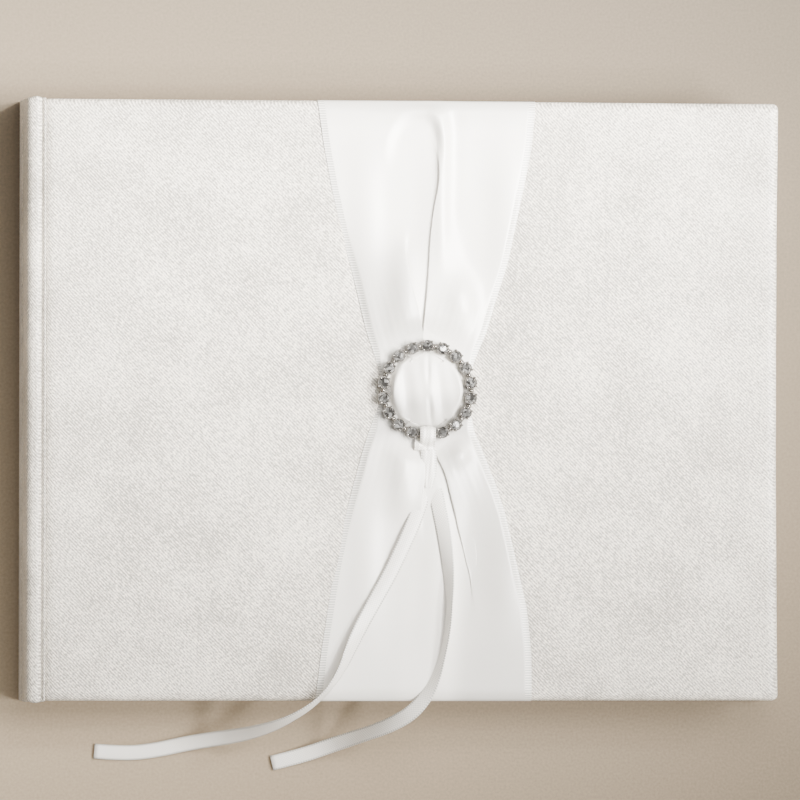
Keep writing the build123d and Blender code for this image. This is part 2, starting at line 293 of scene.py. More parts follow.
def satin(name, tick_from, edge, pitch, tint, rough, sheen=(), check=0.0):
    """Satin ribbon. Its map holds millimetres across and along, and its woven edge shows as fine ticks.
    sheen holds places of painted shade and painted highlight, where the colour is made darker or lighter, and
    check gives it a small woven pattern."""
    m = Nodes(name)
    spot = m.add("ShaderNodeUVMap", uv_map="UVMap").outputs["UV"]
    u, v, _ = m.add("ShaderNodeSeparateXYZ", {0: spot}).outputs
    place = m.add("ShaderNodeTexCoord").outputs["Object"]
    lengthwise = {0: m.math("MULTIPLY", u, 6.0), 1: m.math("MULTIPLY", v, 0.8), 2: 0.0}
    warp = m.noise(m.add("ShaderNodeCombineXYZ", lengthwise).outputs[0], 1.0, 3)
    tick = m.wave(v, pitch)
    from_middle = m.math("ABSOLUTE", u)
    past_ticks = m.math("GREATER_THAN", from_middle, tick_from)
    at_edge = m.math("MULTIPLY", past_ticks, m.math("LESS_THAN", from_middle, edge))
    cloud = m.noise(place, 60, 3)
    weave = m.math("ADD", m.ramp(m.wave(v, THREAD_PITCH), 0.46, 0.54), m.ramp(warp, -0.12, 0.12))
    edge_height = m.ramp(tick, 0.0, 1.0)
    height = m.add("ShaderNodeMix", {"Factor": at_edge, "A": weave, "B": edge_height}).outputs["Result"]
    shade = m.math("ADD", m.ramp(warp, 0.93, 1.05), m.ramp(cloud, -0.05, 0.05))
    cross = m.math("MULTIPLY", m.wave(v, CHECK_PITCH), m.wave(u, CHECK_PITCH))
    shade = m.math("ADD", shade, m.math("MULTIPLY", cross, check))
    # painted shade and painted highlight: over each listed place the colour is darkened or lightened
    for u_from, u_to, v_from, v_to, share in sheen:
        over_u = m.ramp(u, 0.0, 1.0, u_from, u_to, "SMOOTHSTEP")
        over_v = m.ramp(v, 0.0, 1.0, v_from, v_to, "SMOOTHSTEP")
        shade = m.math("MULTIPLY", shade, m.ramp(m.math("MULTIPLY", over_u, over_v), 1.0, share))
    ticks_shade = m.ramp(tick, 0.55, 1.05)
    shade = m.add("ShaderNodeMix", {"Factor": at_edge, "A": shade, "B": ticks_shade}).outputs["Result"]
    return m.finish(
        Base_Color=m.shaded(tint, shade),
        Roughness=m.ramp(cloud, *rough),
        Normal=m.bump(height, 0.00006, 0.5),
        Specular_IOR_Level=0.95,
        Sheen_Weight=0.1,
        Sheen_Roughness=0.3,
        Anisotropic=0.35,
    )


def paper(name, colour, ruled=False):
    """Smooth heavy paper with faint fibres, and on the guests' pages faint ruled lines."""
    m = Nodes(name)
    place = m.add("ShaderNodeTexCoord").outputs["Object"]
    fibre = m.noise(place, 700, 5, 0.7)
    cloud = m.noise(place, 25, 3)
    shade = m.math("ADD", m.ramp(fibre, 0.95, 1.04), m.ramp(cloud, -0.015, 0.015))
    base = m.shaded(colour, shade)
    if ruled:
        x, y, _ = m.add("ShaderNodeSeparateXYZ", {0: place}).outputs
        line = m.math("FRACT", m.math("DIVIDE", y, 14 * MM))
        on_line = m.math("LESS_THAN", m.math("ABSOLUTE", m.math("SUBTRACT", line, 0.5)), 0.016)
        inside_x = m.math("LESS_THAN", m.math("ABSOLUTE", x), 88 * MM)
        inside_y = m.math("LESS_THAN", m.math("ABSOLUTE", y), 68 * MM)
        mark = m.math("MULTIPLY", m.math("MULTIPLY", on_line, inside_x), inside_y)
        base = m.mix(m.math("MULTIPLY", mark, 0.45), base, (0.42, 0.42, 0.44, 1))
    return m.finish(Base_Color=base, Roughness=m.ramp(fibre, 0.5, 0.7), Normal=m.bump(fibre, 0.00004, 0.5))


def leaf_edges(name):
    """The cut edges of the paper, with each sheet a little different."""
    m = Nodes(name)
    place = m.add("ShaderNodeTexCoord").outputs["Object"]
    x, y, z = m.add("ShaderNodeSeparateXYZ", {0: place}).outputs
    flat = {0: m.math("MULTIPLY", x, 0.03), 1: m.math("MULTIPLY", y, 0.03), 2: z}
    sheet = m.noise(m.add("ShaderNodeCombineXYZ", flat).outputs[0], 5000, 2)
    dust = m.noise(place, 600, 4)
    shade = m.math("ADD", m.ramp(sheet, 0.82, 1.08), m.ramp(dust, -0.03, 0.03))
    base = m.shaded((0.80, 0.775, 0.72, 1), shade)
    return m.finish(Base_Color=base, Roughness=0.7, Normal=m.bump(sheet, 0.00008, 0.6))


def bright_metal(name):
    """Bright plated metal, a little uneven from casting."""
    m = Nodes(name)
    place = m.add("ShaderNodeTexCoord").outputs["Object"]
    cast = m.noise(place, 1400, 3)
    tarnish = m.noise(place, 500, 4, 0.6)
    colour = m.mix(m.ramp(tarnish, 0.1, 0.8), (0.44, 0.415, 0.38, 1), (0.12, 0.112, 0.10, 1))
    rough = m.ramp(cast, 0.12, 0.3)
    return m.finish(Base_Color=colour, Metallic=1.0, Roughness=rough, Normal=m.bump(cast, 0.00006, 0.35))


def cut_stone(name):
    """Clear cut stone: hard bright facets over a dark, glittering depth, with painted reflections: random
    cells of its colour made near black or near white.
    """
    m = Nodes(name)
    place = m.add("ShaderNodeTexCoord").outputs["Object"]
    # painted reflections and painted glints: each cell of the colour dark or bright
    depth = m.add("ShaderNodeTexVoronoi", {"Vector": place, "Scale": 1150.0})
    tone = m.add("ShaderNodeSeparateColor", {0: depth.outputs["Color"]}).outputs[0]
    colour = m.mix(m.math("POWER", tone, 2.4), (0.02, 0.018, 0.015, 1), (1.0, 0.98, 0.94, 1))
    return m.finish(
        Base_Color=colour,
        Metallic=m.ramp(tone, 0.55, 0.9),
        Roughness=0.04,
        Specular_IOR_Level=1.0,
        Coat_Weight=1.0,
        Coat_IOR=1.9,
        Coat_Roughness=0.01,
    )


def woven(name, colour, pitch, distance=0.0001):
    """A plain cloth such as mull or a ribbed band."""
    m = Nodes(name)
    place = m.add("ShaderNodeTexCoord").outputs["Object"]
    _, y, z = m.add("ShaderNodeSeparateXYZ", {0: place}).outputs
    weave = m.ramp(m.math("ADD", m.wave(y, pitch * MM), m.wave(z, pitch * MM)), 0.25, 0.75)
    base = m.shaded(colour, m.ramp(weave, 0.72, 1.08))
    return m.finish(Base_Color=base, Roughness=0.65, Normal=m.bump(weave, distance, 0.8), Sheen_Weight=0.2)


CLOTH = shimmer_twill("cover_cloth")
# places of painted shade and painted highlight, where the satin's colour is made darker or lighter to stand
# for the light on its folds, inside the ring and near the top edge: from and to across it, from and to along
# it in millimetres, and the share of its tone that it has there
SATIN_PAINTED_LIGHT = [
    (6, 13, 90, 70, 0.72),
    (-3, -10, 150, 128, 0.72),
    (-3, -10, 112, 104, 1.3),
    (-40, -39, 99, 92, 0.6),
    (-40, -39, 86, 80, 1.6),
    (-40, -39, 172, 182, 0.75),
]
SATIN = satin(
    "satin_ribbon",
    SASH_HALF - 1.9,
    SASH_HALF + 1,
    pitch=0.74,
    tint=(0.945, 0.905, 0.83, 1),
    rough=(0.28, 0.40),
    sheen=SATIN_PAINTED_LIGHT,
)
NARROW = satin(
    "narrow_ribbon",
    TIE_W / 2 - 0.5,
    TIE_W / 2 + 0.2,
    pitch=0.75,
    tint=(0.84, 0.80, 0.73, 1),
    rough=(0.3, 0.5),
    check=0.22,
)
PAGE = paper("page_paper", (0.84, 0.825, 0.78, 1), ruled=True)
ENDPAPER = paper("endpaper", (0.82, 0.805, 0.77, 1))
EDGES = leaf_edges("paper_edges")
METAL = bright_metal("ring_metal")
STONE = cut_stone("stones")
MULL = woven("mull_cloth", (0.78, 0.75, 0.68, 1), 0.9)
LINER = paper("liner_paper", (0.42, 0.31, 0.19, 1))
SILK = woven("band_silk", (0.84, 0.82, 0.77, 1), 1.1, 0.0002)
THREAD = woven("thread", (0.8, 0.77, 0.7, 1), 0.4)
BOARD = paper("board", (0.32, 0.27, 0.2, 1))


# ---------------------------------------------------------------- the narrow tie's tails


LEFT_ROUTE = [
    (5.5, -15.9, 27.4),
    (5.6, -21.5, 27.0),
    (5.2, -28.0, 26.75),
    (2.6, -35.5, 26.7),
    (-0.6, -42.6, 26.75),
    (-4.4, -50.6, 26.7),
    (-8.7, -58.2, 26.75),
    (-12.6, -65.2, 26.9),
    (-15.9, -72.0, 27.2),
    (-18.6, -78.4, 27.7),
    (-22.8, -84.8, 28.2),
    (-28.2, -89.8, 27.3),
    (-34.5, -93.6, 23.6),
    (-40.5, -96.2, 17.6),
    (-46.5, -98.0, 10.8),
    (-53.4, -99.2, 4.8),
    (-61.5, -100.6, 1.1),
    (-70.5, -102.6, 0.75),
    (-79.5, -103.6, 0.65),
    (-88.5, -102.8, 0.65),
]
RIGHT_ROUTE = [
    (7.8, -15.9, 27.4),
    (8.2, -21.5, 27.0),
    (9.2, -28.5, 26.9),
    (10.9, -36.0, 27.2),
    (12.1, -44.5, 27.9),
    (12.9, -53.6, 28.3),
    (12.9, -62.2, 28.2),
    (11.9, -70.6, 27.6),
    (9.9, -78.4, 27.0),
    (6.9, -85.6, 27.0),
    (2.4, -91.2, 26.2),
    (-3.2, -94.8, 21.6),
    (-8.6, -97.2, 15.2),
    (-13.6, -99.2, 8.3),
    (-19.4, -101.4, 3.0),
    (-27.0, -104.2, 0.9),
    (-36.0, -106.4, 0.65),
]
# how far each tail is turned about its own line, in degrees, by its share of the way along
LEFT_TWIST = [
    (0, 0), (0.28, 5), (0.37, 22), (0.44, 55), (0.50, 70), (0.57, 62), (0.66, 34), (0.76, 10),
    (0.86, 0), (1, 0),
]
RIGHT_TWIST = [
    (0, 0), (0.12, 10), (0.24, 40), (0.34, 74), (0.46, 72), (0.55, 38), (0.63, 12), (0.75, 30),
    (0.88, 5), (1, 0),
]


def smooth_line(name, route):
    """Points along a smooth curve that has the route's points as its controls."""
    data = bpy.data.curves.new(name + "_line", "CURVE")
    data.dimensions = "3D"
    data.resolution_u = 12
    spline = data.splines.new("NURBS")
    spline.points.add(len(route) - 1)
    for point, spot in zip(spline.points, route):
        point.co = (*[v * MM for v in spot], 1)
    spline.order_u = 3
    spline.use_endpoint_u = True
    obj = link(bpy.data.objects.new(name + "_line", data))
    bpy.context.view_layer.update()
    line = bpy.data.meshes.new_from_object(obj.evaluated_get(bpy.context.evaluated_depsgraph_get()))
    points = np.array([v.co for v in line.vertices]) / MM
    bpy.data.objects.remove(obj)
    return points


def ribbon_tail(name, route, twist, turn_side):
    """A flat ribbon along the route, turned about its line as it lies and lifts. turn_side is 1 or -1."""
    line = smooth_line(name, route)
    run = run_along(line)
    share = run / run[-1]
    ahead = np.gradient(line, axis=0)
    ahead /= np.linalg.norm(ahead, axis=1)[:, None]
    side = np.cross(ahead, [0, 0, 1.0])
    side /= np.linalg.norm(side, axis=1)[:, None]
    top = np.cross(side, ahead)
    turn = np.radians(np.interp(share, *zip(*twist)))
    turn = smoothed(turn, np.ones(9)) * turn_side
    wide = np.cos(turn)[:, None] * side + np.sin(turn)[:, None] * top
    face = np.cross(wide, ahead)
    half, thick, cols = TIE_W / 2, 0.13, 9
    u = np.linspace(-half, half, cols)
    cup = 0.22 * (1 - (u / half) ** 2)
    # squeezed together under the knot's stem
    wide = wide * np.interp(share, [0, 0.05, 0.09], [0.5, 0.55, 1])[:, None]
    upper = line[:, None] + wide[:, None] * u[None, :, None] + face[:, None] * (cup + thick)[None, :, None]
    under = line[:, None] + wide[:, None] * u[None, ::-1, None]
    under = under + face[:, None] * (cup - thick)[None, ::-1, None]
    ring = np.concatenate([upper, under], axis=1)
    count = ring.shape[1]
    faces = grid_faces(len(line), count, wrap=True)
    last = (len(line) - 1) * count
    faces += [tuple(range(count - 1, -1, -1)), tuple(range(last, last + count))]
    obj = mesh_object(name, ring, faces, NARROW)
    across_map = np.concatenate([u, u[::-1]])
    put_uv(obj, [(a, r) for r in run for a in across_map])
    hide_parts(name)
    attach(obj, "front_cover")


ribbon_tail("tie_tail_left", LEFT_ROUTE, LEFT_TWIST, 1)
ribbon_tail("tie_tail_right", RIGHT_ROUTE, RIGHT_TWIST, -1)


# ---------------------------------------------------------------- padded covers


# the rolled edge's reach and fall, the turn at its foot, the rise of the face and the pull of the cloth
EDGE_IN = 3.4
EDGE_DROP = 1.9
SIDE_LIP = 0.5
CROWN = 0.25
PULL = 0.035


def edge_drop(depth):
    """How far the padded face has fallen at a depth in from the edge."""
    t = np.clip(1 - np.asarray(depth, float) / EDGE_IN, 0, 1)
    return EDGE_DROP * (1 - np.sqrt(np.clip(1 - t**2.2, 0, 1)))


def outline(depth, corner=1.6, per_side=150, per_corner=10):
    """Points round the cover at a depth in from its edge. The fore edge pulls in a little at its middle."""
    x0, x1, h = COVER_X0 + depth, COVER_X1 - depth, HALF_H - depth
    r = max(corner - depth * 0.5, 0.3)
    points = []
    corners = [(x1 - r, h - r, 0), (x0 + r, h - r, 90), (x0 + r, -h + r, 180), (x1 - r, -h + r, 270)]
    for index, (cx, cy, start) in enumerate(corners):
        for k in range(per_corner):
            a = math.radians(start + 90 * k / (per_corner - 1))
            points.append((cx + r * math.cos(a), cy + r * math.sin(a)))
        nx, ny, _ = corners[(index + 1) % 4]
        a = math.radians(start + 90)
        from_point = np.array([cx + r * math.cos(a), cy + r * math.sin(a)])
        to_point = np.array([nx + r * math.cos(a), ny + r * math.sin(a)])
        for k in range(1, per_side):
            points.append(tuple(from_point + (to_point - from_point) * k / per_side))
    out = np.array(points)
    fore = smoothstep(COVER_X1 - 40, COVER_X1, out[:, 0])
    out[:, 0] -= 0.55 * fore * (1 - (out[:, 1] / HALF_H) ** 2)
    return out


def padded_cover(name, top, inner, up, body, cad_nodes):
    """Cloth over wadding and board: crowned face, rolled edges and the turned-in margin inside.
    up is 1 for the front cover and -1 for the back one."""
    rng = np.random.default_rng(7 if up > 0 else 11)
    crown = CROWN if up > 0 else 0.0
    face_depths = (60, 40, 30, 22, 16, 12, 9, 7, 5.5, 4.4)
    profile = [(d, -edge_drop(d) + crown * smoothstep(0, 40, d)) for d in face_depths]
    profile += [(d, -float(edge_drop(d))) for d in np.linspace(EDGE_IN, 0, 14)]
    side = abs(top - inner)
    profile += [(0.0, -z) for z in np.linspace(EDGE_DROP + 0.3, side - SIDE_LIP, 6)]
    for a in np.linspace(0.3, 1.57, 5):
        profile.append((SIDE_LIP * (1 - math.cos(a)), -side + SIDE_LIP * (1 - math.sin(a))))
    profile += [(d, -side) for d in (2, 4, 8, 12, 15)] + [(15.2, -side + 0.38)]
    rings = []
    count = len(outline(0))
    pull = np.convolve(np.tile(rng.normal(size=count), 3), np.hanning(25), "same")[count : 2 * count]
    pull *= PULL / pull.std()
    for depth, drop in profile:
        ring = outline(depth)
        soft = math.exp(-((depth - 2.5) / 4) ** 2) if drop > -EDGE_DROP else 0.3
        z = np.full(count, drop) + pull * soft
        if up < 0:
            z = np.minimum(z, 0)
        ring = ring + (ring / np.linalg.norm(ring, axis=1)[:, None]) * (pull * soft * 1.5)[:, None]
        rings.append(np.column_stack([ring, top + up * z]))
    points = np.array(rings)
    faces = grid_faces(len(profile), count, wrap=True)
    faces.append(tuple(range(count - 1, -1, -1)))
    last = (len(profile) - 1) * count
    faces.append(tuple(range(last, last + count)))
    if up > 0:
        faces = [f[::-1] for f in faces]
    obj = mesh_object(name, points, faces, CLOTH)
    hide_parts(*cad_nodes)
    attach(obj, body)


FRONT_NODES = ["front_cloth", "front_padding", "front_board"]
BACK_NODES = ["back_cloth", "back_padding", "back_board"]
padded_cover("front_cover_cloth", COVER_TOP, COVER_IN, 1, "front_cover", FRONT_NODES)
padded_cover("back_cover_cloth", 0.0, BACK_IN, -1, "back_cover", BACK_NODES)


# ---------------------------------------------------------------- cloth over the hinges and spine


SHOULDER = 2.4
GROOVE = 0.9
HINGE_CLOTH = 0.8


def shoulder_profile(height):
    """From the middle of the spine's face up over the shoulder, into the groove and onto the cover's edge.
    Each point is (x, height from the middle)."""
    points = [(SPINE_X, 0.0), (SPINE_X - 0.12, height * 0.25), (SPINE_X - 0.1, height * 0.5)]
    points += [(SPINE_X - 0.03, height * 0.7), (SPINE_X, height - SHOULDER - 1.0)]
    for a in np.linspace(0, math.pi / 2, 9):
        points.append((SPINE_X + SHOULDER * (1 - math.cos(a)), height - SHOULDER * (1 - math.sin(a))))
    groove_x = COVER_X0 - 0.75
    for x in np.linspace(SPINE_X + SHOULDER + 0.2, COVER_X0 + 0.5, 16):
        dip = GROOVE * math.exp(-(((x - groove_x) / 0.55) ** 2))
        points.append((x, height + 0.05 - dip))
    return points


def hinge_cloth(name, up, cad_nodes):
    """The cloth from the spine's middle to a cover, with puckers gathered at the head and tail."""
    middle = height = COVER_TOP / 2
    profile = shoulder_profile(height)
    rows = 260
    rng = np.random.default_rng(3 if up > 0 else 5)
    ripple = np.convolve(rng.normal(size=rows + 40), np.hanning(9), "same")[20:-20]
    ripple /= ripple.std()
    points = []
    for i, t in enumerate(np.linspace(-1, 1, rows)):
        bend = 0.6 * max(1 - (1 - abs(t)) * 60, 0.0)
        y = t * (HALF_H + 0.1)
        near_end = math.exp(-(((1 - abs(t)) * HALF_H) / 5.0) ** 2)
        for x, z in profile:
            bulge = math.exp(-(((x - SPINE_X - 2.6) / 1.9) ** 2)) * (1 if z > height - 3 else 0)
            pucker = math.sin((HALF_H - abs(y)) * 2.6) * 0.28 * near_end * bulge
            y_out = y + math.copysign(0.55 * near_end**3 * bulge, y)
            lift = 0.05 * ripple[i] * bulge + pucker - 0.5 * bend
            points.append((x, y_out, middle + up * (z + lift)))
    faces = grid_faces(rows, len(profile))
    if up < 0:
        faces = [f[::-1] for f in faces]
    obj = mesh_object(name, points, faces, CLOTH)
    thicken(obj, HINGE_CLOTH)
    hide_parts(*cad_nodes)
    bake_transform(obj)


hinge_cloth(
    "front_hinge_cloth",
    1,
    ["front_joint_cloth", "spine_cloth"],
)
hinge_cloth(
    "back_hinge_cloth",
    -1,
    ["back_joint_cloth"],
)


# ---------------------------------------------------------------- satin sash


# half widths of the sash by distance from the ring's middle, left and right
LEFT_WIDTH = [
    (-91, 32.6), (-77, 31.0), (-53, 27.2), (-40, 24.6), (-29, 21.9), (-18, 18.9), (-12, 17.0),
    (-6, 14.6), (0, 12.6), (7, 14.2), (12, 16.0), (18, 18.0), (33, 21.6), (45, 24.8),
    (60, 28.2), (72, 30.4), (85, 32.2),
]
RIGHT_WIDTH = [
    (-91, 31.3), (-77, 31.2), (-64, 29.9), (-48, 26.2), (-36, 23.4), (-28, 20.8), (-18, 16.8),
    (-12, 14.2), (-6, 13.0), (0, 12.4), (7, 13.6), (12, 15.6), (17, 17.8), (26, 20.4),
    (37, 24.0), (52, 27.2), (63, 29.6), (72, 31.2), (85, 32.4),
]
# places of the two creases across the sash, and the share of the spare width that each takes in
RIGHT_CREASE = [
    (-74, 17.4), (-63, 16.0), (-56, 13.9), (-46, 11.1), (-36, 7.9), (-28, 5.1), (-21, 2.8),
    (-16, 1.4), (-8, 0.8), (0, 0.2), (8, -0.8), (15, -2.0), (24, -1.2), (34, -0.2), (45, 0.9),
    (53, 1.8), (63, 2.4), (72, 2.6), (82, 2.4),
]
LEFT_CREASE = [
    (-72, -6.0), (-60, -4.6), (-40, -3.0), (-30, -2.0), (-18, -2.1), (-8, -1.2), (0, -0.6),
    (8, -0.6), (16, -2.0), (24, -3.7), (33, -5.7), (40, -7.2), (50, -7.4), (60, -8.0),
]
RIGHT_SHARE = [
    (-74, 0.0), (-66, 0.35), (-50, 0.8), (-36, 0.76), (-20, 0.5), (0, 0.5), (20, 0.52),
    (36, 0.64), (50, 0.8), (62, 1.0), (76, 1.0), (82, 0.9), (85, 0.0),
]
LEFT_SHARE = [
    (-64, 0.0), (-50, 0.06), (-36, 0.22), (-24, 0.48), (0, 0.5), (20, 0.46), (36, 0.33),
    (46, 0.16), (60, 0.0),
]


# thickness, distance off the cover, how steeply a row climbs over a fold and how soon it sinks again
SASH_THICK = 0.16
SASH_LIE = 0.14
CLIMB = 0.21
SINK = 9.0
BAR_HEIGHT = 0.8


def curve_through(points, places):
    """Smooth the joined-up line of listed values."""
    return smoothed(np.interp(places, *zip(*points)), np.hanning(11))


def sash_path():
    """The sash's run in side view from its tail end to its head end: (run, y, z, outward y, outward z)."""
    top, h = COVER_TOP, HALF_H
    half = [
        (h - 2.8, COVER_IN - 0.25, 0, -1),
        (h - 1.2, COVER_IN - 0.25, 0, -1),
        (h - 0.1, COVER_IN - 0.2, 0.4, -0.9),
        (h + 0.12, COVER_IN + 0.5, 1, -0.2),
    ]
    for z in np.linspace(COVER_IN + 1.0, top - EDGE_DROP - 0.2, 5):
        half.append((h + SASH_LIE, z, 1, 0))
    for d in (0.05, 0.2, 0.45, 0.8, 1.2, 1.7, 2.3, 2.9):
        slope = (edge_drop(d) - edge_drop(d + 0.05)) / 0.05
        length = math.hypot(1, slope)
        place = (h - d + SASH_LIE * slope / length, top - float(edge_drop(d)) + SASH_LIE)
        half.append((*place, slope / length, 1 / length))
    tail = [(-y, z, -ny, nz) for y, z, ny, nz in half]
    flat = [(y, top + SASH_LIE, 0, 1) for y in np.arange(-h + EDGE_IN + 0.4, h - EDGE_IN - 0.3, 0.55)]
    whole = np.array(tail + flat + half[::-1], float)
    return run_along(whole[:, :2]), whole


def pleat_form(t):
    """How fully a pleat is turned at a share of its length."""
    return smoothstep(0, 0.3, t) * (1 - smoothstep(0.7, 1, t))


def pleat(spare, least=6.0):
    """The turning of a pleat that takes in a spare width: its length, and the angle at its height."""
    length = max(least, spare / 1.32)
    form = pleat_form(np.linspace(0, 1, 200))
    angles = np.linspace(0, 3.05, 80)
    taken = np.array([np.mean(1 - np.cos(a * form)) for a in angles]) * length
    return length, float(np.interp(spare, taken, angles))


def climb(turn):
    """How steeply a row rises where it is turned by an angle."""
    return np.sin(np.minimum(turn, 3.1))


def heights(x, rise, step):
    """Heights along a row that climbs over its folds, and sinks again once it is past the hidden layer."""
    level = clear = 0.0
    result = np.zeros(len(x))
    furthest = np.maximum.accumulate(x)
    for k in range(len(x)):
        clear = clear + step if x[k] > furthest[k] - 1e-6 else 0.0
        level += step * (rise[k] * CLIMB - level / SINK * smoothstep(0, 6, clear))
        result[k] = level
    return result


def sash_rows(cols=300):
    """The sash's rows, each with two pleats: the run and path along it, the place across its flat width, and
    each point's x and height."""
    run, path = sash_path()
    y_flat = path[:, 0] - RING_Y
    left = curve_through(LEFT_WIDTH, y_flat)
    right = curve_through(RIGHT_WIDTH, y_flat)
    crease_r = curve_through(RIGHT_CREASE, y_flat)
    crease_l = curve_through(LEFT_CREASE, y_flat)
    share_r = curve_through(RIGHT_SHARE, y_flat)
    share_l = curve_through(LEFT_SHARE, y_flat)
    s = np.linspace(-SASH_HALF, SASH_HALF, cols)
    step = s[1] - s[0]
    across, up = [], []
    for i in range(len(y_flat)):
        spare = max(SASH_W - left[i] - right[i], 0.0)
        spare_r, spare_l = spare * share_r[i], spare * share_l[i]
        angle = np.zeros(cols)
        rise_r = np.zeros(cols)
        rise_l = np.zeros(cols)
        if spare_l > 0.05:
            length, bend = pleat(spare_l)
            start = crease_l[i] + left[i] - SASH_HALF
            angle = bend * pleat_form((s - start) / length)
            rise_l = climb(angle) * smoothstep(0, 5, spare_l)
        if spare_r > 0.05:
            length, bend = pleat(spare_r)
            overlap = max((spare_r - 0.3 * length) / 2, 0)
            # a small pleat starts sooner, which keeps its crease in line
            shy = 0.4 * length * (1 - smoothstep(1, 7, spare_r))
            start = crease_r[i] + overlap + left[i] - SASH_HALF + spare_l - shy
            turn = bend * pleat_form((s - start) / length)
            angle = np.maximum(angle, turn)
            rise_r = climb(turn) * (0.25 + 0.75 * smoothstep(0, 5, spare_r))
        x = np.concatenate([[0], np.cumsum(np.cos(angle[:-1]) * step)])
        x = x * (left[i] + right[i]) / max(x[-1], 1e-3) - left[i]
        across.append(x)
        up.append(heights(x, rise_r, step) + heights(-x[::-1], rise_l[::-1], step)[::-1])
    return run, path, y_flat, s, np.array(across), np.array(up)


def blur(values, size, axis):
    """Smooth a grid of values along one of its axes."""
    return np.apply_along_axis(smoothed, axis, values, np.hanning(size + 2)[1:-1])


# swells beside the ring: height, place across and along from its middle, and how far each spreads both ways
SWELLS = [
    (2.0, 10.5, 26, 18, 45),
    (1.9, -6.5, 30, 20, 240),
    (1.9, 9.5, -18.5, 10, 12),
    (1.7, -7, -25, 14, 200),
]


def make_sash():
    """The satin sash over the cover, through the ring and over its bar."""
    run, path, y, s, x, z = sash_rows()
    z = blur(z, 15, 0)
    x = blur(x, 9, 0)
    yy = y[:, None] + 0 * x
    # the gathered satin inside the ring is drawn up evenly, without a fold
    even = x[:, :1] + (x[:, -1:] - x[:, :1]) * np.linspace(0, 1, len(s))
    x = x + (even - x) * (1 - smoothstep(7.0, 12.0, np.abs(yy)))
    radius = np.hypot(x, yy)
    # swells before the sash dips under the ring
    near = np.exp(-(((np.abs(yy) - 25) / 9.0) ** 2))
    swell = 1.5 * near * np.cos(np.clip(x / 19, -1.4, 1.4)) ** 2
    for height, at_x, at_y, spread_x, spread_y in SWELLS:
        swell += height * np.exp(-((x - at_x) ** 2) / spread_x - ((yy - at_y) ** 2) / spread_y)
    # the round end of the folded panel near the head
    reach = np.hypot((x + 1.0) / np.where(x < -1, 10.5, 6.0), (yy - 70) / 12.5)
    tip = smoothstep(0.62, 1.06, reach) * np.exp(-np.maximum(reach - 1.1, 0) * 1.6) * smoothstep(60, 78, yy)
    swell += 1.6 * tip * (0.55 + 0.45 * smoothstep(-6, 3, x))
    # a ridge and a valley to the right of the upper crease
    swell += 0.55 * np.exp(-((x - 4.4) ** 2) / 3.5) * smoothstep(30, 50, yy) * (1 - smoothstep(74, 84, yy))
    swell -= 0.6 * np.exp(-((x - 8.2) ** 2) / 7) * smoothstep(38, 55, yy) * (1 - smoothstep(80, 86, yy))
    # fine gathers near the ring, and a slow roll across the fans
    gather = np.exp(-(((np.abs(yy) - 16) / 13.0) ** 2))
    swell += 0.03 * gather * (np.sin(s[None, :] * 1.3 + 0.8) + 0.6 * np.sin(s[None, :] * 2.9 + yy * 0.05))
    swell += 0.75 * np.sin(x * 0.30 + 0.6) * np.exp(-(((np.abs(yy) - 48) / 24.0) ** 2))
    z = blur(z, 7, 1) + swell
    # never below the cover's cloth
    z = np.log1p(np.exp(np.clip(z * 4, -30, 30))) / 4 + 0.12
    # pressed flat under the ring
    press = smoothstep(14.6, 22, radius)
    ceiling = RING_Z0 - COVER_TOP - 0.5
    flat = ceiling * (1 - np.exp(-z / ceiling)) * 0.85
    z = z * press + flat * (1 - press)
    # up through the ring and over its bar, highest a little above the bar
    across_ring = np.sqrt(np.clip(1 - (yy / 11.6) ** 2, 0, 1)) * 11.2
    inside = 1 - smoothstep(10.6, 12.2, np.abs(yy))
    inside = inside * (1 - smoothstep(-1.5, 0.3, np.abs(x) - across_ring))
    arch = np.clip(1 - np.abs((yy - 0.8) / 12.0) ** 2.2, 0, 1)
    crest = RING_Z0 + BAR_HEIGHT - COVER_TOP + 1.0
    rolls = 0.30 * np.cos(x * 0.55 + 0.3) + 0.10 * np.sin(x * 1.3 + yy * 0.2)
    cleft = 0.55 * np.exp(-(((x - 0.2 - 0.12 * np.maximum(-yy, 0)) / 0.7) ** 2))
    cleft = cleft * smoothstep(0, 7, np.abs(yy))
    puff = 0.95 + (crest - 0.95) * arch + (rolls - cleft) * arch**0.5
    z = z * (1 - inside) + puff * inside
    z = blur(blur(z, 5, 0), 3, 1)
    # its two woven edges lie close
    edge = smoothstep(0, 2.5, SASH_HALF - np.abs(s))[None, :]
    z = z * (0.25 + 0.75 * edge) + 0.05
    # laid flat where it turns over the edges of the cover
    fade = 1 - smoothstep(HALF_H - 4, HALF_H - 0.2, np.abs(path[:, 0]))
    z = z * np.maximum(fade, 0.05)[:, None]
    points = np.empty((len(y), len(s), 3))
    points[:, :, 0] = SASH_X + x
    points[:, :, 1] = path[:, 0][:, None] + path[:, 2][:, None] * z
    points[:, :, 2] = path[:, 1][:, None] + path[:, 3][:, None] * z
    obj = mesh_object("satin_sash", points, grid_faces(len(y), len(s)), SATIN)
    put_uv(obj, [(a, r) for r in run for a in s])
    face_up(obj)
    thicken(obj, SASH_THICK)
    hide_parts("sash_ribbon")
    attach(obj, "front_cover")


make_sash()


# ---------------------------------------------------------------- ring of stones


def ring_spot(number):
    """The place on the ring of a stone, counted from its foot, with x pointing outward."""
    angle = math.radians(-90 + number * 360 / STONES)
    spot = Vector((SASH_X + RING_R * math.cos(angle), RING_Y + RING_R * math.sin(angle), 0)) * MM
    return Matrix.Translation(spot) @ Matrix.Rotation(angle, 4, "Z")


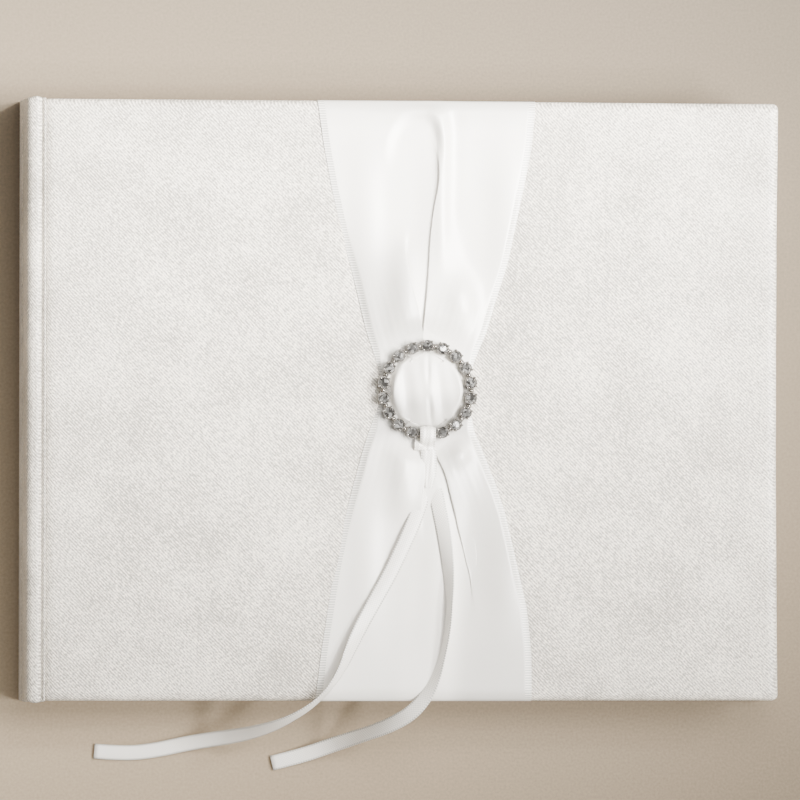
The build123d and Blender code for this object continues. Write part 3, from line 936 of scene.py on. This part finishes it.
def cut_stone_mesh(z_girdle):
    """A round cut stone: eight-sided table, stars, kites, girdle and pointed pavilion."""
    # radius, points, turn in steps, and height from the girdle
    rings = [
        (0.80, 8, 0.5, 0.62),
        (1.18, 8, 0.0, 0.40),
        (1.52, 16, 0.0, 0.06),
        (1.52, 16, 0.0, -0.08),
        (0.62, 8, 0.5, -0.85),
    ]
    points, starts = [], []
    for r, n, offset, z in rings:
        starts.append(len(points))
        for k in range(n):
            a = 2 * math.pi * (k + offset) / n
            points.append((r * math.cos(a), r * math.sin(a), z_girdle + z))
    points.append((0, 0, z_girdle - 1.25))
    culet = len(points) - 1
    a, b, c, d, e = starts
    faces = [tuple(a + k for k in range(8))]
    for k in range(8):
        n = (k + 1) % 8
        faces.append((a + k, b + n, a + n))
        faces.append((a + (k - 1) % 8, b + k, a + k))
        faces.append((b + k, c + 2 * k, c + (2 * k + 1) % 16, a + k))
        faces.append((a + k, c + (2 * k + 1) % 16, c + (2 * k + 2) % 16, b + n))
        faces.append((d + 2 * k, e + k, d + (2 * k + 1) % 16))
        faces.append((d + (2 * k + 1) % 16, e + k, d + (2 * k + 2) % 16))
        faces.append((d + (2 * k + 2) % 16, e + k, e + n))
        faces.append((e + k, culet, e + n))
    for k in range(16):
        n = (k + 1) % 16
        faces.append((c + k, d + k, d + n, c + n))
    return points, faces


def make_stones():
    """The cut stones as one piece, each turned a little its own way."""
    girdle = RING_TOP - 0.62
    points, faces = cut_stone_mesh(girdle)
    rng = np.random.default_rng(2)
    all_points, all_faces = [], []
    for number in range(STONES):
        tilt = Matrix.Rotation(rng.uniform(-0.07, 0.07), 4, "X")
        tilt = tilt @ Matrix.Rotation(rng.uniform(-0.07, 0.07), 4, "Y")
        spin = Matrix.Rotation(rng.uniform(0, 0.8), 4, "Z")
        centre = Matrix.Translation((0, 0, girdle * MM))
        place = ring_spot(number) @ centre @ tilt @ spin @ centre.inverted()
        base = len(all_points)
        all_points += [tuple((place @ (Vector(p) * MM)) / MM) for p in points]
        all_faces += [tuple(base + k for k in f) for f in faces]
    obj = mesh_object("cut_stones", all_points, all_faces, STONE, smooth=False)
    mesh = bmesh.new()
    mesh.from_mesh(obj.data)
    bmesh.ops.recalc_face_normals(mesh, faces=mesh.faces)
    mesh.to_mesh(obj.data)
    mesh.free()
    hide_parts("buckle_crystals")
    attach(obj, "front_cover")


def make_settings():
    """Bent prong tips over each stone, and the beaded links between the cups."""
    mesh = bmesh.new()
    for number in range(STONES):
        place = ring_spot(number)
        for corner in range(4):
            a = math.radians(45 + 90 * corner)
            tip = Vector((1.62 * math.cos(a), 1.62 * math.sin(a), RING_TOP - 0.28)) * MM
            ball = bmesh.ops.create_uvsphere(mesh, u_segments=10, v_segments=7, radius=0.36 * MM)
            bmesh.ops.scale(mesh, vec=(1, 1, 0.8), verts=ball["verts"])
            bmesh.ops.translate(mesh, vec=place @ tip, verts=ball["verts"])
        half_way = ring_spot(number + 0.5)
        for spread, size, drop in ((0, 0.55, 1.15), (-0.62, 0.38, 1.0), (0.62, 0.38, 1.0)):
            bead = bmesh.ops.create_uvsphere(mesh, u_segments=12, v_segments=8, radius=size * MM)
            spot = half_way @ (Vector((0, spread, RING_TOP - drop)) * MM)
            bmesh.ops.translate(mesh, vec=spot, verts=bead["verts"])
    data = bpy.data.meshes.new("ring_settings")
    mesh.to_mesh(data)
    mesh.free()
    data.polygons.foreach_set("use_smooth", [True] * len(data.polygons))
    data.materials.append(METAL)
    obj = link(bpy.data.objects.new("ring_settings", data))
    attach(obj, "front_cover")


make_stones()
make_settings()


# ---------------------------------------------------------------- knot of the narrow tie


def strap(name, line, half_width, seed, centre=0.0, crumple=0.04, narrow=((0, 1), (1, 1))):
    """A short band of ribbon, given by its (y, z) line and lying across x. narrow gives shares of its width
    by the share of the way along."""
    line = np.array(line, float)
    run = run_along(line)
    fine = np.linspace(0, run[-1], 60)
    y = smoothed(np.interp(fine, run, line[:, 0]), np.hanning(9))
    z = smoothed(np.interp(fine, run, line[:, 1]), np.hanning(9))
    dy, dz = np.gradient(y), np.gradient(z)
    size = np.hypot(dy, dz)
    ny, nz = -dz / size, dy / size
    if nz[len(nz) // 2] < 0:
        ny, nz = -ny, -nz
    rng = np.random.default_rng(seed)
    u = np.linspace(-1, 1, 25)
    ripple = 0.6 * np.sin(u * 13 + fine[:, None] * 0.7)
    wave = crumple * (np.sin(u * 7 + rng.uniform(0, 6))[None, :] + ripple)
    width = half_width * np.interp(fine / fine[-1], *zip(*narrow))
    crown = 0.25 * (1 - u**2)
    points = np.empty((len(fine), len(u), 3))
    points[:, :, 0] = SASH_X + centre + width[:, None] * u[None, :]
    points[:, :, 1] = y[:, None] + ny[:, None] * (wave + crown[None, :])
    points[:, :, 2] = z[:, None] + nz[:, None] * (wave + crown[None, :])
    obj = mesh_object(name, points, grid_faces(len(fine), len(u)), NARROW)
    put_uv(obj, [(a * half_width, r) for r in fine for a in u])
    face_up(obj)
    thicken(obj, 0.32)
    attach(obj, "front_cover")
    return obj


def make_knot():
    """The tie's turn over the ring's foot, the end tucked beside it and the stem that holds the tails."""
    foot = RING_Y - RING_R
    top = RING_TOP + 0.15
    wrap = [
        (foot + 2.3, COVER_TOP + 2.2),
        (foot + 2.35, top - 0.9),
        (foot + 1.7, top - 0.1),
        (foot + 0.6, top + 0.18),
        (foot - 0.9, top + 0.12),
        (foot - 2.0, top - 0.5),
        (foot - 2.6, top - 1.3),
        (foot - 3.4, top - 1.9),
        (foot - 4.4, COVER_TOP + 2.5),
        (foot - 4.6, COVER_TOP + 1.8),
    ]
    knot = strap("tie_wrap", wrap, TIE_W / 2 + 0.1, 4, crumple=0.05)
    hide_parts("tie_knot")
    tuck = ((1.4, 2.0), (2.0, 2.7), (3.2, 2.9), (4.2, 2.3), (4.5, 1.5))
    stem = ((4.0, 2.3), (6.0, 2.35), (9.5, 2.25), (13.0, 2.1), (15.6, 1.9))
    tuck_line, stem_line = [[(foot - below, COVER_TOP + up) for below, up in line] for line in (tuck, stem)]
    strap("tie_tuck", tuck_line, 1.3, 8, centre=-2.5, narrow=[(0, 0.8), (0.4, 1), (1, 0.9)])
    strap("tie_stem", stem_line, TIE_W / 2 + 0.15, 5, centre=0.45, narrow=[(0, 1), (0.7, 1.0), (1, 0.55)])


make_knot()


# ---------------------------------------------------------------- paper


def leaf_stack(name, low, high, count, seed):
    """Sheets lying together, each cut a hair short or long of its neighbour and rounded in at the spine."""
    rng = np.random.default_rng(seed)
    pitch = (high - low) / count
    points, faces = [], []
    for k in range(count):
        x1 = LEAF_X1 - abs(rng.normal(0, 0.13))
        y1 = LEAF_Y - abs(rng.normal(0, 0.12))
        y0 = -LEAF_Y + abs(rng.normal(0, 0.12))
        inset = 0.45 * abs(2 * (k + 0.5) / count - 1) ** 3
        z0, z1 = low + k * pitch + 0.01, low + (k + 1) * pitch - 0.025
        base = len(points)
        cols = 9
        for z in (z0, z1):
            for y in (y0, y1):
                for i in range(cols):
                    points.append((LEAF_X0 + inset + (x1 - LEAF_X0 - inset) * i / (cols - 1), y, z))
        for i in range(cols - 1):
            a, b, c, d = base + i, base + cols + i, base + 2 * cols + i, base + 3 * cols + i
            faces += [(a, b, b + 1, a + 1), (c, c + 1, d + 1, d), (a, a + 1, c + 1, c), (b, d, d + 1, b + 1)]
        a, b, c, d = base, base + cols, base + 2 * cols, base + 3 * cols
        faces += [(a, c, d, b), (a + cols - 1, b + cols - 1, d + cols - 1, c + cols - 1)]
    return mesh_object(name, points, faces, EDGES, smooth=False)


SECTIONS = 8
SHEETS = 8


def make_sections():
    """The gatherings of the text block, and the page that shows on the uppermost one."""
    for number in range(1, SECTIONS + 1):
        node = f"section_{number}"
        (_, _, low), (_, _, high) = box_mm(node)
        obj = leaf_stack(f"{node}_leaves", low, high, SHEETS, 100 + number)
        if number == SECTIONS:
            obj.data.materials.append(PAGE)
            top = max(p.center.z for p in obj.data.polygons)
            for p in obj.data.polygons:
                if p.normal.z > 0.9 and p.center.z > top - 0.00002:
                    p.material_index = 1
        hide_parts(node)
        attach(obj, "text_block")


def make_turning_leaf(node, material):
    """One leaf, a flat sheet with its points set close together near its hinge."""
    (x0, y0, z0), (x1, y1, z1) = box_mm(node)
    xs = np.concatenate([np.linspace(x0, x0 + 60, 41), np.linspace(x0 + 64, x1, 20)])
    ys = np.linspace(y0, y1, 24)
    rng = np.random.default_rng(int(z0 * 100))
    points = []
    trim = abs(rng.normal(0, 0.1))
    for z in (z0, z1):
        for y in ys:
            for x in xs:
                points.append((x if x < x1 - 0.1 else x1 - trim, y, z))
    cols, rows = len(xs), len(ys)
    half = cols * rows
    faces = [f[::-1] for f in grid_faces(rows, cols)] + grid_faces(rows, cols, start=half)
    for i in range(cols - 1):
        faces.append((i, i + 1, half + i + 1, half + i))
        a = (rows - 1) * cols + i
        faces.append((a + 1, a, half + a, half + a + 1))
    for j in range(rows - 1):
        a = j * cols
        faces.append((a + cols, a, half + a, half + a + cols))
        a = j * cols + cols - 1
        faces.append((a, a + cols, half + a + cols, half + a))
    obj = mesh_object(f"{node}_sheet", points, faces, material, smooth=False)
    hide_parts(node)
    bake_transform(obj)


make_sections()
make_turning_leaf("front_flyleaf", ENDPAPER)
for leaf_number in range(1, 6):
    make_turning_leaf(f"leaf_{leaf_number}", PAGE)


# ---------------------------------------------------------------- CAD pieces that show as they are


def dress(node, material):
    """Give a CAD mesh that shows as it is its material."""
    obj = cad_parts[node]
    obj.data.materials.clear()
    obj.data.materials.append(material)


for cad_node, finish in {
    "buckle_frame": METAL,
    "front_pastedown": ENDPAPER,
    "back_pastedown": ENDPAPER,
    "back_flyleaf": ENDPAPER,
    "spine_board": BOARD,
    "spine_mull": MULL,
    "spine_liner": LINER,
    "headband": SILK,
    "tailband": SILK,
    "sewing_thread": THREAD,
}.items():
    dress(cad_node, finish)


# ---------------------------------------------------------------- table, light and surroundings


def table_material():
    """Warm stone-coloured table top, with painted light: its colour is made lighter towards the tail and the
    spine, where the lamps' light fades.
    """
    m = Nodes("table")
    place = m.add("ShaderNodeTexCoord").outputs["Object"]
    x, y, _ = m.add("ShaderNodeSeparateXYZ", {0: place}).outputs
    mottle = m.ramp(m.noise(place, 9, 4), 0.96, 1.04)
    grain = m.ramp(m.noise(place, 1300, 2), 0.75, 1.25)
    # painted light: the colour is lifted where the beams are weaker, towards the tail and the spine
    fade = m.ramp(y, 2.5, 1.0, -0.12, 0.12)
    painted_light_across = m.ramp(x, 1.05, 0.62, -0.12, 0.12)
    shade = m.math("MULTIPLY", m.math("MULTIPLY", mottle, grain), m.math("MULTIPLY", fade, painted_light_across))
    colour = m.shaded((0.146, 0.113, 0.075, 1), shade)
    return m.finish(Base_Color=colour, Roughness=0.8, Normal=m.bump(m.noise(place, 400, 3), 0.0001, 0.2))


TABLE_HALF = 4000
table_corners = [(x * TABLE_HALF, y * TABLE_HALF, 0) for x, y in ((-1, -1), (1, -1), (1, 1), (-1, 1))]
table = mesh_object("table", table_corners, [(0, 1, 2, 3)], table_material())


def lamp(kind, name, place, aim, watts, colour, **settings):
    """A light at one place, aimed at another."""
    data = bpy.data.lights.new(name, kind)
    data.energy = watts
    data.color = colour
    for key, value in settings.items():
        setattr(data, key, value)
    obj = link(bpy.data.objects.new(name, data))
    obj.location = place
    obj.rotation_euler = (Vector(aim) - Vector(place)).to_track_quat("-Z", "Y").to_euler()


# a wide window to the right, as a set of beams whose middles fall beyond the head of the book, so that
# its light fades towards the tail
BEAM_MIDDLE = Vector((-0.02, 0.215, 0))
for azimuth in (-30, -12, 6, 26):
    for height in (44, 60):
        a, h = math.radians(azimuth), math.radians(height)
        toward = Vector((math.cos(a) * math.cos(h), math.sin(a) * math.cos(h), math.sin(h)))
        lamp(
            "SPOT",
            f"window_{azimuth}_{height}",
            BEAM_MIDDLE + toward * 2.3,
            BEAM_MIDDLE,
            285,
            (1.0, 0.985, 0.955),
            spot_size=math.radians(17.4),
            spot_blend=1.0,
            shadow_soft_size=0.16,
        )
lamp("AREA", "ceiling", (0.10, 0.36, 1.0), (0, 0.03, 0.02), 6, (1.0, 0.99, 0.97), shape="DISK", size=0.5)

world = bpy.data.worlds.new("room")
bpy.context.scene.world = world
world.use_nodes = True
room = world.node_tree
background = room.nodes["Background"]
direction = room.nodes.new("ShaderNodeTexCoord")
patches = room.nodes.new("ShaderNodeTexNoise")
patches.inputs["Scale"].default_value = 2.2
ramp = room.nodes.new("ShaderNodeValToRGB")
dim_patch, bright_patch = ramp.color_ramp.elements
dim_patch.position = 0.38
dim_patch.color = (0.42, 0.40, 0.38, 1)
bright_patch.position = 0.62
bright_patch.color = (1.0, 0.98, 0.95, 1)
room.links.new(direction.outputs["Generated"], patches.inputs["Vector"])
room.links.new(patches.outputs["Fac"], ramp.inputs["Fac"])
room.links.new(ramp.outputs["Color"], background.inputs["Color"])
background.inputs["Strength"].default_value = 0.8
